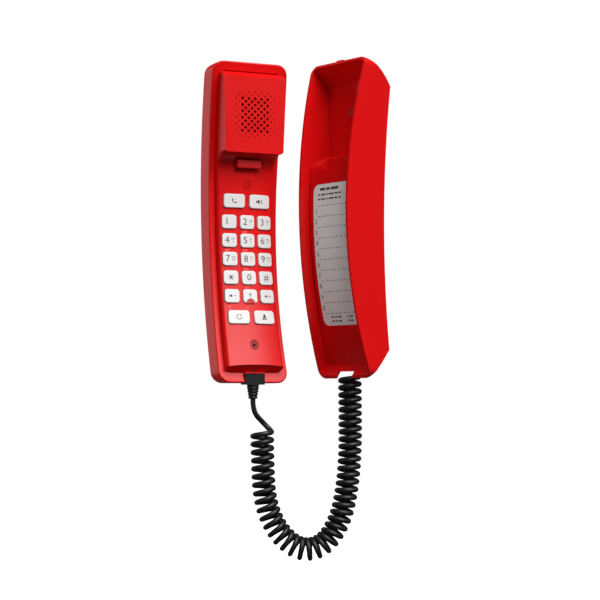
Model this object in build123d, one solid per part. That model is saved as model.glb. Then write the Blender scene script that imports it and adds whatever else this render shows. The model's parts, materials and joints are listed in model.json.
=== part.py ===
from build123d import *
import os
from math import asin, atan2, cos, pi, radians, sin, sqrt, tan

os.makedirs("parts", exist_ok=True)

# Slimline wall telephone: a wall cradle and a handset with its keypad, joined by a curly cord.
# Row frame: +Z up, -Y out of the wall, the wall plane at y = 0, and x = 0 in the middle of the
# cradle. The handset is drawn in a frame of its own, where it faces -Y, and is then placed.
# All sizes are in millimetres.

# ---- shape shared by the cradle and the handset ----
ARCH_Z = 8.0              # height at which both rims lie deepest
RIM_RADIUS = 333.0        # long arch of the two rims that meet when the handset is hung up
RUNNING_GAP = 0.15        # gap round a piece that sits in an opening of a fixed neighbour

# ---- cradle ----
CRADLE_HALF_WIDTH = 24.3  # at the waist, where the cradle is narrowest
CRADLE_SIDE_RADIUS = 2200.0
CRADLE_WAIST_Z = -20.0
CRADLE_TOP = 105.0
CRADLE_BOTTOM = -105.0
CRADLE_RIM_Y = -35.8      # rim at ARCH_Z
CRADLE_CORNER = 6.0
CRADLE_WALL = 1.7
CRADLE_END_WALL = 1.6
CRADLE_BACK_TOP = 87.0    # the back leaves the wall above this height
CRADLE_BACK_BOTTOM = -86.5
CRADLE_BACK_BOW = 3.5     # the back stands this far off the wall at mid height
TOP_CHAMFER_BULGE = 2.2
BOTTOM_CHAMFER_BULGE = 0.4
FLOOR_DEPTH = 7.4         # rim to trough floor, at ARCH_Z
FLOOR_RADIUS = 312.5
FLOOR_THICKNESS = 2.0
PLATFORM_TOP = 42.5       # upper end of the raised floor that the ear cup hooks over
PLATFORM_CORNER = 13.0
PLATFORM_ROUND = 10.0
POCKET_FLOOR_Y = -9.5
POCKET_TOP = 92.5         # the pocket floor ends here, and the end wall leans out to the rim
POCKET_BOTTOM = -94.7     # the lower end wall reaches the pocket floor's depth here
SIDE_GROOVE_WIDTH = 1.5
SIDE_GROOVE_DEPTH = 1.1
SIDE_GROOVE_BOTTOM = -69.0
SIDE_GROOVE_TOP = 24.0
NOTCH_TOP = -100.4        # cord notch in the bottom rim
NOTCH_HALF_WIDTH = 7.4    # its mouth, which takes the boot when the handset is hung up
NOTCH_MOUTH_BACK = -14.2
NOTCH_GAP = 0.45          # between the coil and the round back of the notch
NIB_SIZE = (6.0, 3.2, 1.8)
CRADLE_SCREW_Z = 72.0
SCREW_HEAD = (5.4, 1.8)
SCREW_SHANK = 2.9
SCREW_TOWER_RADIUS = 4.2

# ---- speed dial card ----
CARD_WIDTH = 36.0
CARD_TOP = 23.5
CARD_BOTTOM = -70.0
CARD_CORNER = 5.0
CARD_THICKNESS = 0.5
CARD_GAP = 0.3

# ---- wall plate ----
PLATE_HALF_WIDTH = 22.0
PLATE_TOP = 83.0
PLATE_BOTTOM = -84.0
PLATE_PAN = (-6.5, -4.5)  # y range of the pan that closes the cradle's back
PLATE_PAD_HALF_WIDTH = 16.0
PLATE_PAD_HALF_HEIGHT = 64.0
SLOT_SPACING = 102.0
SLOT_RADIUS = 2.3
SLOT_LENGTH = 9.0

# ---- board and sockets inside the cradle ----
BOARD_THICKNESS = 1.6
CRADLE_BOARD = ((-16.0, 16.0), (-60.0, 6.0))   # x and z ranges
CRADLE_BOARD_Y = -17.0
BOARD_POSTS = ((-12.0, -56.0), (12.0, -56.0), (0.0, 2.0))
BOARD_POST_RADIUS = 2.2
BOARD_CHIPS = (-52.0, -44.0, -8.0)             # lower edges of the parts on the board
JACK_SIZE = (15.0, 13.0)
JACK_WINDOW = (15.4, 13.4)
JACK_MOUTH = (11.8, 7.2)
JACK_Z = -22.0
JACK_DEPTH = 12.0
CONTACT_COUNT = 8
CONTACT_PITCH = 1.02
CORD_JACK = ((-6.2, 6.2), (-10.0, -3.2), (-95.5, -84.3))
PLUG_HALF = (3.4, 2.3)
PLUG_CENTRE_Y = -6.6
PLUG_BOTTOM = -99.0
PLUG_TOP = -87.0
PLUG_GAP = 0.1

# ---- handset ----
HANDSET_HALF_WIDTH = 23.9 # at the waist
HANDSET_SIDE_RADIUS = 3400.0
HANDSET_WAIST_Z = -45.0
HANDSET_TOP = 104.5
HANDSET_BOTTOM = -108.2
HANDSET_DEPTH = 20.0      # rim to back
HANDSET_CORNER = 7.6
HANDSET_WALL = 2.2
HANDSET_BACK_ROUND = 6.0
LAND_THICKNESS = 3.0      # the rim band is this thick where it overhangs the inside
BAND_WIDTH = 4.2          # rim band beside the raised front, at the sides
FRONT_TOP = 98.3
FRONT_BOTTOM = -101.4
FRONT_CORNER = 4.0
FRONT_WALL = 2.0
FRONT_SKIRT = 5.0         # the raised front reaches this far behind the rim
FACE_HEIGHT = 6.5         # raised front above the rim at ARCH_Z
FACE_RADIUS = 312.5
CROWN_RADIUS = 92.0       # crown of the face across its width
CROWN_AXIS_Y = CROWN_RADIUS - FACE_HEIGHT
EDGE_ROUND = 2.0
END_SLOPE = ((-17.5, -101.8), (-24.2, -96.2))  # slope at the lower end of the face, in (y, z)
EAR_BOTTOM = 43.4
EAR_HEIGHT = 20.0         # ear cup face above the rim, at its lower edge
EAR_HEIGHT_TOP = 21.6
EAR_TOP = 93.4
EAR_TOP_FOOT = 11.0
COVE_RADIUS = 11.0
SCREW_POSTS = ((-14.5, 88.0), (14.5, 88.0), (-13.8, -88.0), (13.8, -88.0))
POST_RADIUS = 3.2
HANDSET_SCREW = (5.0, 1.8, 2.4)   # head diameter, head height and shank diameter

# ---- ear piece, board and weight inside the handset ----
SPEAKER_RADIUS = 15.0
SPEAKER_DEPTH = 6.0
SPEAKER_RIM = 2.0
CLOTH_THICKNESS = 0.5
BOARD_FRONT = 2.6         # middle of the board behind the rim plane
BOARD_LEAN = -5.2         # degrees
BOARD_HALF_WIDTH = 17.2
BOARD_SPAN = (-78.0, 30.0)
WEIGHT_SIZE = (20.0, 34.0)
WEIGHT_THICKNESS = 3.5
WEIGHT_Z = 68.0

# ---- ear grille ----
GRILLE_Z = 68.4
GRILLE_STEP = (2.24, 2.13)   # half of the diagonal grid's pitch across and along
GRILLE_COUNT = (13, 15)
GRILLE_LARGE = 1.9
GRILLE_SMALL = 0.9

# ---- keys ----
KEY_PITCH = 12.4
KEY_ROW_GAP = 14.0        # from a digit row to the two-key row above or below it
WIDE_KEY_X = 8.9
FIRST_ROW_Z = -1.4
KEY_SIZE = (10.0, 9.2)
WIDE_KEY_SIZE = (14.6, 9.2)
KEY_CORNER = 2.0
KEY_PROUD = 1.1
KEY_GAP = 0.3
KEY_TRAVEL = 1.2
KEY_FLANGE = 0.45
KEY_FLANGE_DROP = FRONT_WALL + 0.5             # face to the top of the flange
KEY_FLANGE_THICKNESS = 0.8
MAT_DROP = KEY_FLANGE_DROP + KEY_FLANGE_THICKNESS + KEY_TRAVEL + 0.5
MAT_THICKNESS = 1.2
MAT_HALF_WIDTH = 17.3
MAT_SPAN = (-72.5, 20.5)

# ---- hook switch, microphone and lights ----
HOOK_Z = 36.9
HOOK_SIZE = (17.3, 5.6)
HOOK_RECESS = (21.0, 8.0)
HOOK_FRONT = 12.0
HOOK_RECESS_FLOOR = 6.9
HOOK_TRAVEL = 2.0
MIC_Z = -83.1
MIC_WINDOW = (6.0, 7.2)
MIC_HOLE = 1.8
MIC_SEAT = 3.2            # face to the front of the capsule
CAPSULE_RADIUS = 3.0
CAPSULE_DEPTH = 3.2
GROMMET_RADIUS = 4.6
STATUS_Z = 23.4
STATUS_DIAMETER = 6.5
MUTE_LENS = (5.6, 2.6)

# ---- handset joint and placing ----
HUNG_GAP = 0.6            # rim to rim when hung up
AXIS_X = -35.4            # stand-in axis beside the cradle's left wall
AXIS_Y = -29.5
REST_FACING = 74.5        # degrees from -Y towards +X, with the handset off the hook
HUNG_FACING = 180.0

# ---- cord ----
WIRE = 3.4
COIL_DIAMETER = 15.9
COIL_AXIS = (-1.5, -11.0)
COIL_TOP = -102.6
BOOT_LEVEL = 17.6         # boot axis above the handset's rim plane at ARCH_Z
BOOT_TIP = -118.5
BOOT_DIAMETERS = (8.0, 5.0)
COLLAR_HALF_WIDTH = 6.8   # block at the top of the boot, in the rim band's cut-out
COLLAR_BOTTOM = HANDSET_BOTTOM - 1.0


# ---------------------------------------------------------------- helpers
def sag(z, radius, middle=ARCH_Z):
    """How far an arch of this radius has moved at height z, from its value at its middle."""
    return radius - sqrt(radius ** 2 - (z - middle) ** 2)


def box(x_range, y_range, z_range):
    size = [high - low for low, high in (x_range, y_range, z_range)]
    centre = [(low + high) / 2 for low, high in (x_range, y_range, z_range)]
    return Pos(*centre) * Box(*size)


def outline(half_width, side_radius, waist_z, top, bottom, corner):
    """Front outline with waisted sides, as a face whose y is the row's z."""
    half_top = half_width + sag(top, side_radius, waist_z)
    half_bottom = half_width + sag(bottom, side_radius, waist_z)
    edges = [
        ThreePointArc((half_top, top), (half_width, waist_z), (half_bottom, bottom)),
        Line((half_bottom, bottom), (-half_bottom, bottom)),
        ThreePointArc((-half_bottom, bottom), (-half_width, waist_z), (-half_top, top)),
        Line((-half_top, top), (half_top, top)),
    ]
    face = Face(Wire(edges))
    return face.fillet_2d(corner, face.vertices())


def rectangle(width, height, corner, centre=(0.0, 0.0)):
    return Pos(centre[0], centre[1]) * RectangleRounded(width, height, corner)


def prism_y(face, y_low, y_high):
    """Sweep a front outline along Y."""
    return Pos(0, y_high, 0) * extrude(Plane.XZ * face, y_high - y_low, dir=(0, -1, 0))


def prism_x(edges, half_width):
    """Sweep a side outline, given as edges in (y, z), along X both ways."""
    return extrude(Plane.YZ * Face(Wire(edges)), half_width, both=True)


def polygon(*points):
    return Polyline(*points, close=True).edges()


def cylinder_y(x, z, radius, y_low, y_high):
    return Pos(x, (y_low + y_high) / 2, z) * Rot(90, 0, 0) * Cylinder(radius, y_high - y_low)


def export(node, shape):
    shape.label = node
    export_step(shape, "parts/" + node + ".step")


# ---------------------------------------------------------------- cradle
def cradle_plan(inset, top, bottom, corner):
    return outline(CRADLE_HALF_WIDTH - inset, CRADLE_SIDE_RADIUS, CRADLE_WAIST_Z, top, bottom, corner)


def cradle_arc(offset, radius, top, bottom):
    """Side-view arch that runs along the cradle's rim, offset towards the wall."""
    y = CRADLE_RIM_Y + offset
    return ThreePointArc((y + sag(bottom, radius), bottom), (y, ARCH_Z), (y + sag(top, radius), top))


def floor_y(z):
    return CRADLE_RIM_Y + FLOOR_DEPTH + sag(z, FLOOR_RADIUS)


def cradle_outer():
    rim_top = (CRADLE_RIM_Y + sag(CRADLE_TOP, RIM_RADIUS), CRADLE_TOP)
    rim_bottom = (CRADLE_RIM_Y + sag(CRADLE_BOTTOM, RIM_RADIUS), CRADLE_BOTTOM)
    back_top = (0.0, CRADLE_BACK_TOP)
    back_bottom = (0.0, CRADLE_BACK_BOTTOM)
    edges = [
        cradle_arc(0.0, RIM_RADIUS, CRADLE_TOP, CRADLE_BOTTOM),
        bulged(rim_top, back_top, TOP_CHAMFER_BULGE),
        ThreePointArc(back_top, (-CRADLE_BACK_BOW, 0.0), back_bottom),
        bulged(back_bottom, rim_bottom, BOTTOM_CHAMFER_BULGE),
    ]
    return prism_x(edges, 40) & prism_y(cradle_plan(0.0, CRADLE_TOP, CRADLE_BOTTOM, CRADLE_CORNER), -60, 10)


def bulged(start, end, bulge):
    """Arc from start to end whose middle stands off the chord, to the left of the way it runs."""
    dy = end[0] - start[0]
    dz = end[1] - start[1]
    length = sqrt(dy ** 2 + dz ** 2)
    middle = ((start[0] + end[0]) / 2 - dz / length * bulge, (start[1] + end[1]) / 2 + dy / length * bulge)
    return ThreePointArc(start, middle, end)


def trough():
    """The hollow that takes the handset: a shallow floor, and a deep pocket for the ear cup."""
    inner_top = CRADLE_TOP - CRADLE_END_WALL
    inner_bottom = CRADLE_BOTTOM + CRADLE_END_WALL
    plan = cradle_plan(CRADLE_WALL, inner_top, inner_bottom, CRADLE_CORNER - CRADLE_WALL)
    rim_top_y = CRADLE_RIM_Y + sag(inner_top, RIM_RADIUS)
    rim_bottom_y = CRADLE_RIM_Y + sag(inner_bottom, RIM_RADIUS)
    deep = prism_x(polygon(
        (-60, inner_bottom), (rim_bottom_y - 0.6, inner_bottom), (POCKET_FLOOR_Y, POCKET_BOTTOM),
        (POCKET_FLOOR_Y, POCKET_TOP), (rim_top_y, inner_top), (-60, inner_top)), 40)
    return (deep & prism_y(plan, -60, 10)) - platform()


def platform():
    """Raised floor: arched along its length, with a round upper edge and round upper corners."""
    round_start = PLATFORM_TOP - PLATFORM_ROUND
    centre = (floor_y(round_start) + PLATFORM_ROUND, round_start)
    middle = (centre[0] - PLATFORM_ROUND * cos(pi / 4), centre[1] + PLATFORM_ROUND * sin(pi / 4))
    bottom = -110.0
    y = CRADLE_RIM_Y + FLOOR_DEPTH
    side = [
        ThreePointArc((floor_y(bottom), bottom), (y, ARCH_Z), (floor_y(round_start), round_start)),
        ThreePointArc((floor_y(round_start), round_start), middle, (centre[0], PLATFORM_TOP)),
        Line((centre[0], PLATFORM_TOP), (10, PLATFORM_TOP)),
        Line((10, PLATFORM_TOP), (10, bottom)),
        Line((10, bottom), (floor_y(bottom), bottom)),
    ]
    half = CRADLE_HALF_WIDTH
    plan = Pos(0, (PLATFORM_TOP - 200) / 2) * RectangleRounded(2 * half, 200 + PLATFORM_TOP, PLATFORM_CORNER)
    return prism_x(side, half) & prism_y(plan, -60, 10)


def hook_relief():
    """Shallow relief in the platform's round edge, where the hook switch would press."""
    hung_front = CRADLE_RIM_Y - HUNG_GAP + HOOK_FRONT
    half_width = HOOK_SIZE[0] / 2 + 1.2
    low = HOOK_Z - HOOK_SIZE[1] / 2 - 1.6
    return box((-half_width, half_width), (-60, hung_front + 0.8), (low, PLATFORM_TOP + 1))


def floor_band(front, back, top, bottom, half_width):
    """Curved slab that follows the trough floor, between two offsets from it."""
    edges = [
        Line((floor_y(top) + front, top), (floor_y(top) + back, top)),
        Line((floor_y(bottom) + back, bottom), (floor_y(bottom) + front, bottom)),
    ]
    for offset in (front, back):
        edges.append(ThreePointArc((floor_y(bottom) + offset, bottom), (floor_y(ARCH_Z) + offset, ARCH_Z),
                                   (floor_y(top) + offset, top)))
    return prism_x(edges, half_width)


def card_shape(grow, front, back):
    plan = Pos(0, (CARD_TOP + CARD_BOTTOM) / 2) * RectangleRounded(
        CARD_WIDTH + 2 * grow, CARD_TOP - CARD_BOTTOM + 2 * grow, CARD_CORNER + grow)
    slab = floor_band(front, back, CARD_TOP + 5, CARD_BOTTOM - 5, 30)
    return slab & prism_y(plan, -60, 10)


def rear_cavity():
    """Space behind the floor for the board and the sockets, open at the back."""
    top_of_low = PLATFORM_TOP - 2.5
    plan = cradle_plan(CRADLE_WALL, 95.0, -97.0, 3.0)
    low_bottom = -88.0
    bend = 30.0
    front_bottom = (floor_y(low_bottom) + FLOOR_THICKNESS, low_bottom)
    front_middle = (floor_y(ARCH_Z) + FLOOR_THICKNESS, ARCH_Z)
    front_top = (floor_y(bend) + FLOOR_THICKNESS, bend)
    pocket_back = POCKET_FLOOR_Y + FLOOR_THICKNESS
    side = [
        ThreePointArc(front_bottom, front_middle, front_top),
        *Polyline(front_top, (-18.0, top_of_low), (pocket_back, top_of_low), (pocket_back, 91.0),
                  (-1.0, 84.5), (5.0, 84.5), (5.0, -84.0), (-1.0, -84.0), front_bottom).edges(),
    ]
    return prism_x(side, 40) & prism_y(plan, -60, 10)


def screw_tower():
    """Boss behind the pocket floor for the screw that holds the cradle on its plate."""
    return cylinder_y(0, CRADLE_SCREW_Z, SCREW_TOWER_RADIUS, POCKET_FLOOR_Y + 0.5, PLATE_PAN[0])


def cord_notch():
    """Notch in the bottom wall: a square mouth, and a round back for the upper end of the coil."""
    back = Pos(*COIL_AXIS, NOTCH_TOP - 10) * Cylinder(COIL_DIAMETER / 2 + NOTCH_GAP, 20)
    return back + box((-NOTCH_HALF_WIDTH, NOTCH_HALF_WIDTH), (-40, NOTCH_MOUTH_BACK), (NOTCH_TOP - 20, NOTCH_TOP))


def cord_jack_pocket():
    """Room for the cord's socket, open downwards for the plug."""
    room = box(*[(low - RUNNING_GAP, high + RUNNING_GAP) for low, high in CORD_JACK])
    jack_bottom = CORD_JACK[2][0]
    return room + plug_box(2 * PLUG_GAP, jack_bottom - 8, jack_bottom)


def cradle_shell():
    shell = cradle_outer() - trough() - rear_cavity()
    shell += screw_tower()
    shell -= cylinder_y(0, CRADLE_SCREW_Z, SCREW_SHANK / 2 + 0.15, -30, 5)
    shell -= hook_relief()
    shell -= card_shape(CARD_GAP, -3.0, CARD_THICKNESS)
    inner = CRADLE_HALF_WIDTH - CRADLE_WALL
    for side in (-1, 1):
        groove = floor_band(-3.0, SIDE_GROOVE_DEPTH, SIDE_GROOVE_TOP, SIDE_GROOVE_BOTTOM, 30)
        edge = inner - SIDE_GROOVE_WIDTH
        span = sorted((side * edge, side * (inner + 0.35)))
        shell -= groove & box(span, (-60, 0), (SIDE_GROOVE_BOTTOM, SIDE_GROOVE_TOP))
    shell -= cord_notch()
    shell -= cord_jack_pocket()
    nib_y = CRADLE_RIM_Y + sag(CRADLE_TOP, RIM_RADIUS)
    shell += box((-NIB_SIZE[0] / 2, NIB_SIZE[0] / 2), (nib_y + 0.3, nib_y + 0.3 + NIB_SIZE[1]),
                 (CRADLE_TOP - 1.2, CRADLE_TOP + NIB_SIZE[2] - 1.0))
    return shell


def wall_plate():
    """Pan that closes the cradle's back, with a raised pad that lies on the wall."""
    plan = outline(PLATE_HALF_WIDTH, CRADLE_SIDE_RADIUS, CRADLE_WAIST_Z, PLATE_TOP, PLATE_BOTTOM, 3.0)
    plate = prism_y(plan, *PLATE_PAN)
    pad = RectangleRounded(2 * PLATE_PAD_HALF_WIDTH, 2 * PLATE_PAD_HALF_HEIGHT, 4.0)
    plate += prism_y(pad, PLATE_PAN[1], 0)
    for side in (-1, 1):
        slot = Pos(0, side * SLOT_SPACING / 2) * Rot(0, 0, 90) * SlotOverall(SLOT_LENGTH, 2 * SLOT_RADIUS)
        plate -= prism_y(slot, -10, 5)
    window = Pos(0, JACK_Z) * Rectangle(*JACK_WINDOW)
    plate -= prism_y(window, -10, 5)
    plate -= cylinder_y(0, CRADLE_SCREW_Z, SCREW_SHANK / 2, -10, 5)
    for x, z in BOARD_POSTS:
        plate += cylinder_y(x, z, BOARD_POST_RADIUS, CRADLE_BOARD_Y + BOARD_THICKNESS, PLATE_PAN[0])
    return plate


def cross_slot(x, z, y_low, y_high, reach, half_width):
    """Cross recess of a screw head."""
    upright = box((x - half_width, x + half_width), (y_low, y_high), (z - reach, z + reach))
    return upright + box((x - reach, x + reach), (y_low, y_high), (z - half_width, z + half_width))


def cradle_screw():
    diameter, height = SCREW_HEAD
    head = cylinder_y(0, CRADLE_SCREW_Z, diameter / 2, POCKET_FLOOR_Y - height, POCKET_FLOOR_Y)
    head -= cross_slot(0, CRADLE_SCREW_Z, -20, POCKET_FLOOR_Y - height / 2, 2.0, 0.4)
    return head + cylinder_y(0, CRADLE_SCREW_Z, SCREW_SHANK / 2, POCKET_FLOOR_Y, PLATE_PAN[1] + 0.5)


def cradle_board():
    x_range, z_range = CRADLE_BOARD
    back = CRADLE_BOARD_Y + BOARD_THICKNESS
    board = box(x_range, (CRADLE_BOARD_Y, back), z_range)
    for z in BOARD_CHIPS:
        board += box((-6.0, 6.0), (back, back + 1.8), (z, z + 5.0))
    return board


def network_jack():
    start = CRADLE_BOARD_Y + BOARD_THICKNESS
    half_w, half_h = JACK_SIZE[0] / 2, JACK_SIZE[1] / 2
    body = box((-half_w, half_w), (start, 0), (JACK_Z - half_h, JACK_Z + half_h))
    mouth_w, mouth_h = JACK_MOUTH[0] / 2, JACK_MOUTH[1] / 2
    body -= box((-mouth_w, mouth_w), (-JACK_DEPTH, 1), (JACK_Z - mouth_h - 0.8, JACK_Z + mouth_h - 0.8))
    latch = (JACK_Z + mouth_h - 1.0, JACK_Z + mouth_h + 1.4)
    return body - box((-3.2, 3.2), (-JACK_DEPTH, 1), latch)


def jack_contacts():
    pins = []
    for index in range(CONTACT_COUNT):
        x = (index - (CONTACT_COUNT - 1) / 2) * CONTACT_PITCH
        pins.append(box((x - 0.2, x + 0.2), (-11.0, -2.5), (JACK_Z - 4.4, JACK_Z - 4.0)))
    return Compound(pins)


def plug_box(grow, bottom, top):
    half_x, half_y = PLUG_HALF[0] + grow, PLUG_HALF[1] + grow
    return box((-half_x, half_x), (PLUG_CENTRE_Y - half_y, PLUG_CENTRE_Y + half_y), (bottom, top))


def cord_jack():
    return box(*CORD_JACK) - plug_box(PLUG_GAP, CORD_JACK[2][0] - 1, PLUG_TOP)


def cord_plug():
    return plug_box(0.0, PLUG_BOTTOM, PLUG_TOP)


def cord_tail():
    """Straight wire from the plug to the coil."""
    bottom = COIL_TOP + RUNNING_GAP
    return Pos(0, PLUG_CENTRE_Y, (PLUG_BOTTOM + bottom) / 2) * Cylinder(WIRE / 2, PLUG_BOTTOM - bottom)


# ---------------------------------------------------------------- handset, in its own frame
def face_height(z):
    return FACE_HEIGHT + sag(z, FACE_RADIUS)


def face_frame(x, z, drop=0.0):
    """Plane on the crowned face at x and z, its z axis standing out of the face."""
    reach = CROWN_AXIS_Y + face_height(z)
    turn = asin(x / reach)
    slope = asin((z - ARCH_Z) / FACE_RADIUS)
    normal = Vector(sin(turn) * cos(slope), -cos(turn) * cos(slope), -sin(slope))
    point = Vector(reach * sin(turn), CROWN_AXIS_Y - reach * cos(turn), z)
    return Plane(origin=point - normal * drop, x_dir=(cos(turn), sin(turn), 0), z_dir=normal)


def crowned(edges):
    """Turn a side outline, given in (height above the rim, z), round the crown's upright axis."""
    face = Plane(origin=(0, CROWN_AXIS_Y, 0), x_dir=(0, -1, 0), z_dir=(-1, 0, 0)) * Face(Wire(edges))
    span = 40.0
    solid = revolve(face, Axis((0, CROWN_AXIS_Y, 0), (0, 0, 1)), span)
    return Pos(0, CROWN_AXIS_Y, 0) * Rot(0, 0, -span / 2) * Pos(0, -CROWN_AXIS_Y, 0) * solid


def face_point(height, z):
    return (CROWN_AXIS_Y + height, z)


def face_arc(drop, bottom, top):
    middle = (bottom + top) / 2
    return ThreePointArc(*[face_point(face_height(z) - drop, z) for z in (bottom, middle, top)])


def face_sheet(front_drop, back_drop, bottom, top):
    """Sheet that follows the crowned face between two depths below it."""
    edges = [
        face_arc(front_drop, bottom, top),
        Line(face_point(face_height(top) - front_drop, top), face_point(face_height(top) - back_drop, top)),
        face_arc(back_drop, bottom, top),
        Line(face_point(face_height(bottom) - back_drop, bottom),
             face_point(face_height(bottom) - front_drop, bottom)),
    ]
    return crowned(edges)


def front_blank(drop, cove, plan):
    """The raised front as a solid: crowned key face, cove and flat ear cup."""
    bottom, top, back, over = -112.0, 112.0, -40.0, 36.0
    ear_bottom = EAR_BOTTOM + drop
    if cove > 0:
        centre_z = ear_bottom - cove
        height = FACE_HEIGHT - drop + FACE_RADIUS
        centre_h = height - sqrt((FACE_RADIUS - cove) ** 2 - (centre_z - ARCH_Z) ** 2)
        lean = atan2(centre_z - ARCH_Z, height - centre_h)
        touch = (height - FACE_RADIUS * cos(lean), ARCH_Z + FACE_RADIUS * sin(lean))
        angle = (pi - lean + pi / 2) / 2
        middle = (centre_h + cove * cos(angle), centre_z + cove * sin(angle))
        rise = [
            face_arc_to(drop, bottom, touch),
            ThreePointArc(face_point(*touch), face_point(*middle), face_point(centre_h, ear_bottom)),
            Line(face_point(centre_h, ear_bottom), face_point(over, ear_bottom)),
        ]
    else:
        rise = [
            face_arc(drop, bottom, ear_bottom),
            Line(face_point(face_height(ear_bottom) - drop, ear_bottom), face_point(over, ear_bottom)),
        ]
    start = face_point(face_height(bottom) - drop, bottom)
    edges = rise + [
        Line(face_point(over, ear_bottom), face_point(over, top)),
        Line(face_point(over, top), face_point(back, top)),
        Line(face_point(back, top), face_point(back, bottom)),
        Line(face_point(back, bottom), start),
    ]
    solid = crowned(edges) & prism_y(plan, -50, FRONT_SKIRT)
    low = -(EAR_HEIGHT - drop)
    high = -(EAR_HEIGHT_TOP - drop)
    cut = polygon((low, EAR_BOTTOM - 0.5), (high, EAR_TOP - drop), (-EAR_TOP_FOOT, FRONT_TOP - drop),
                  (-EAR_TOP_FOOT, 120), (-70, 120), (-70, EAR_BOTTOM - 0.5))
    return solid - prism_x(cut, 40)


def face_arc_to(drop, bottom, touch):
    middle = -40.0
    return ThreePointArc(face_point(face_height(bottom) - drop, bottom),
                         face_point(face_height(middle) - drop, middle), face_point(*touch))


def front_plan(inset, top_inset, bottom_inset):
    half = HANDSET_HALF_WIDTH - BAND_WIDTH - inset
    return outline(half, HANDSET_SIDE_RADIUS, HANDSET_WAIST_Z, FRONT_TOP - top_inset,
                   FRONT_BOTTOM + bottom_inset, max(FRONT_CORNER - inset, 1.0))


def end_wedge():
    (y_foot, z_foot), (y_top, z_top) = END_SLOPE
    below = z_foot - 1
    return prism_x(polygon((y_foot, below), (y_foot, z_foot), (y_top, z_top), (-60, z_top), (-60, below)), 40)


def key_list():
    """Name, centre and size of every key, from the top of the pad down."""
    keys = []
    row = FIRST_ROW_Z + KEY_ROW_GAP
    keys += [("key_call", -WIDE_KEY_X, row, WIDE_KEY_SIZE), ("key_speaker", WIDE_KEY_X, row, WIDE_KEY_SIZE)]
    grid = (("key_1", "key_2", "key_3"), ("key_4", "key_5", "key_6"), ("key_7", "key_8", "key_9"),
            ("key_star", "key_0", "key_hash"), ("key_volume_down", "key_mute", "key_volume_up"))
    for line, names in enumerate(grid):
        for column, name in enumerate(names):
            keys.append((name, (column - 1) * KEY_PITCH, FIRST_ROW_Z - line * KEY_PITCH, KEY_SIZE))
    row = FIRST_ROW_Z - (len(grid) - 1) * KEY_PITCH - KEY_ROW_GAP
    keys += [("key_redial", -WIDE_KEY_X, row, WIDE_KEY_SIZE),
             ("key_voicemail", WIDE_KEY_X, row, WIDE_KEY_SIZE)]
    return keys


def key_block(size, grow, low, high):
    """Rounded block in a face frame, from low to high along the frame's z."""
    shape = RectangleRounded(size[0] + 2 * grow, size[1] + 2 * grow, KEY_CORNER + grow)
    return Pos(0, 0, low) * extrude(shape, high - low)


def mute_notch(grow):
    """Half-oval window cut in the lower edge of the mute key, in the key's frame."""
    return Pos(0, -KEY_SIZE[1] / 2) * Ellipse(MUTE_LENS[0] / 2 + grow, MUTE_LENS[1] + grow)


def key_piece(name, x, z, size):
    body = key_block(size, 0, -KEY_FLANGE_DROP - 0.2, KEY_PROUD)
    top = body.faces().sort_by(Axis.Z)[-1]
    body = fillet(top.edges(), 0.5)
    body += key_block(size, KEY_FLANGE, -KEY_FLANGE_DROP - KEY_FLANGE_THICKNESS, -KEY_FLANGE_DROP)
    if name == "key_mute":
        body -= Pos(0, 0, -KEY_FLANGE_DROP) * extrude(mute_notch(KEY_GAP), 10)
    return face_frame(x, z).location * body


def mute_lens(mute_x, mute_z):
    half = Pos(0, -KEY_SIZE[1] / 2) * Rectangle(20, 10, align=(Align.CENTER, Align.MIN))
    shape = mute_notch(0) & (Pos(0, -KEY_GAP) * half)
    return face_frame(mute_x, mute_z).location * (Pos(0, 0, -0.4) * extrude(shape, 1.2))


def grille_holes():
    holes = []
    across, along = GRILLE_COUNT
    for column in range(across):
        for row in range(along):
            if (column + row) % 2:
                continue
            i, j = column - (across - 1) / 2, row - (along - 1) / 2
            rim = abs(i) > (across - 1) / 2 - 1.5 or abs(j) > (along - 1) / 2 - 1.5
            if abs(i) > (across - 1) / 2 - 1.5 and abs(j) > (along - 1) / 2 - 0.5:
                continue
            size = GRILLE_SMALL if rim else GRILLE_LARGE
            holes.append(Pos(i * GRILLE_STEP[0], GRILLE_Z + j * GRILLE_STEP[1]) * Circle(size / 2))
    cut = Sketch() + holes
    return prism_y(cut, -30, -EAR_HEIGHT + FRONT_WALL + 1.6)


def post_height(z):
    """Depth at which a front post meets its boss, from the handset's rim plane."""
    return 6.0 - sag(z, RIM_RADIUS)


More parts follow.
